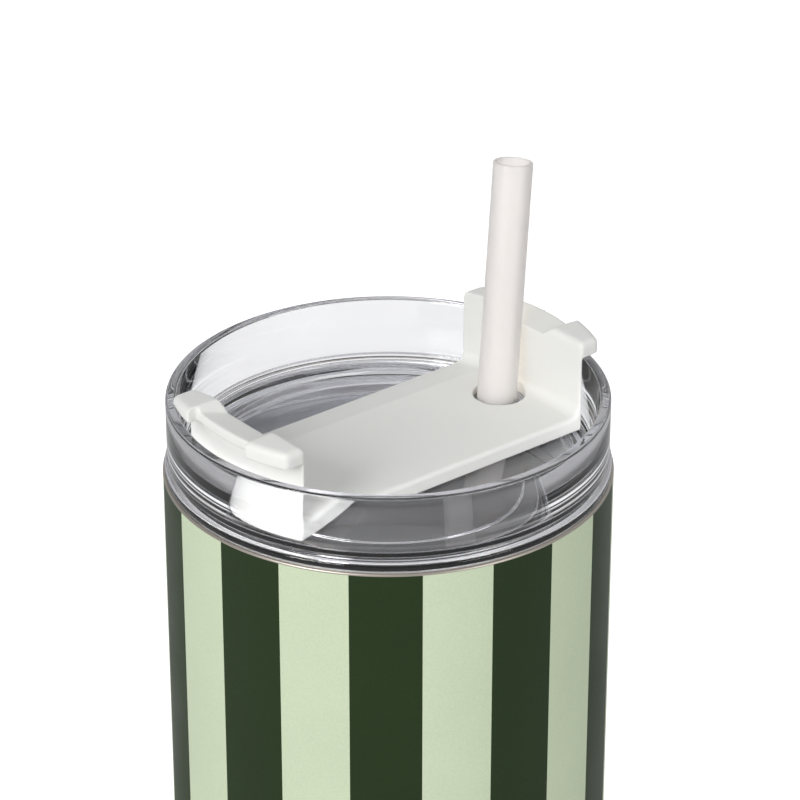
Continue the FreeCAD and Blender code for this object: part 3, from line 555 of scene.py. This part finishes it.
# ---------------------------------------------------------------- frame pieces that stay
def dress_frame():
    looks = {"reflective_foil": COPPER, "outer_bottom": STEEL_INSIDE, "vacuum_seal": BEAD,
             "getter_holder": STEEL_INSIDE, "getter": GETTER, "straw_seal": SILICONE,
             "closure_seal": SILICONE, "pivot_seal": SILICONE, "pivot_retainer": WHITE}
    for name, material in looks.items():
        node = frame["nodes"][name]
        node.data.materials.clear()
        node.data.materials.append(material)


# ---------------------------------------------------------------- studio
def area_light(name, place, size, power, target):
    data = bpy.data.lights.new(name, "AREA")
    data.shape = "RECTANGLE"
    data.size, data.size_y = size
    data.energy = power
    light = bpy.data.objects.new(name, data)
    light.location = place
    light.rotation_euler = (Vector(target) - Vector(place)).to_track_quat("-Z", "Y").to_euler()
    bpy.context.scene.collection.objects.link(light)


FLOOR_GLOW = 0.75               # of the floor as the camera sees it, so that it is pale
GLOW_THROUGH = 0.42             # the same seen through clear plastic
GLOW_MIRRORED = 0.40
SKY = 0.46                      # strength of the surroundings
SKY_THROUGH = 0.54              # the same as gloss and clear plastic show them
MAX_BOUNCES = 24                # enough to see through every wall of the lid


def make_floor():
    """A pale matt floor that shows white behind the object without lighting it."""
    bpy.ops.mesh.primitive_plane_add(size=12.0, location=(0, 0, 0))
    floor = bpy.context.object
    floor.name = "studio_floor"
    pale = Shader("studio_floor", Roughness=1.0, Emission_Color=(1, 1, 1, 1))
    pale.set("Base Color", pale.blend(pale.noise(3.0), (0.70, 0.70, 0.70), (0.74, 0.74, 0.74)))
    path = pale.node("LightPath")
    seen = pale.math("MULTIPLY", path.outputs["Is Camera Ray"], FLOOR_GLOW)
    through = pale.math("MULTIPLY", path.outputs["Is Transmission Ray"], GLOW_THROUGH)
    mirrored = pale.math("MULTIPLY", path.outputs["Is Singular Ray"], GLOW_MIRRORED)
    indirect = pale.math("MAXIMUM", through, mirrored)
    pale.set("Emission Strength", pale.math("MAXIMUM", seen, indirect))
    floor.data.materials.append(pale.material)


def make_surroundings():
    """An even white room, a little brighter where the lid mirrors or shows it."""
    world = bpy.data.worlds.new("studio")
    bpy.context.scene.world = world
    world.use_nodes = True
    tree = world.node_tree
    background = tree.nodes["Background"]
    background.inputs["Color"].default_value = (0.97, 0.98, 1.0, 1)
    rays = tree.nodes.new("ShaderNodeLightPath")
    seen = tree.nodes.new("ShaderNodeMath")
    seen.operation = "MAXIMUM"
    tree.links.new(rays.outputs["Is Transmission Ray"], seen.inputs[0])
    tree.links.new(rays.outputs["Is Glossy Ray"], seen.inputs[1])
    level = tree.nodes.new("ShaderNodeMapRange")
    level.inputs["To Min"].default_value = SKY
    level.inputs["To Max"].default_value = SKY_THROUGH
    tree.links.new(seen.outputs[0], level.inputs["Value"])
    tree.links.new(level.outputs["Result"], background.inputs["Strength"])


def make_lights():
    aim = (0, 0, 0.17)
    area_light("key_left", (-0.87, -1.12, 0.92), (0.7, 0.7), 15.5, aim)
    area_light("fill_right", (1.1, -1.0, 0.5), (0.7, 0.9), 5.2, aim)
    area_light("top_soft", (0.1, 0.45, 1.4), (1.2, 1.2), 1.5, aim)
    scene = bpy.context.scene
    scene.view_settings.view_transform = "Standard"
    scene.cycles.max_bounces = MAX_BOUNCES
    scene.cycles.transmission_bounces = MAX_BOUNCES


def make_camera():
    """The photograph's view: 27 degrees down onto the lid, from in front (-Y)."""
    elevation = math.radians(27.17)
    distance = 0.768
    rim = Vector((0, 0, LID_TOP))
    back = Vector((0, -math.cos(elevation), math.sin(elevation)))
    up = Vector((0, math.sin(elevation), math.cos(elevation)))
    target = rim + Vector((2.52 * MM, 0, 0)) - up * (1.80 * MM)
    data = bpy.data.cameras.new("camera")
    data.sensor_width = 36.0
    data.lens = 160.5
    camera = bpy.data.objects.new("camera", data)
    camera.location = rim + back * distance
    camera.rotation_euler = (target - camera.location).to_track_quat("-Z", "Y").to_euler()
    bpy.context.scene.collection.objects.link(camera)
    bpy.context.scene.camera = camera


make_camera()
make_shell()
make_liner()
make_base()
make_lid()
make_gasket()
make_cover()
make_straw()
dress_frame()
make_floor()
make_surroundings()
make_lights()
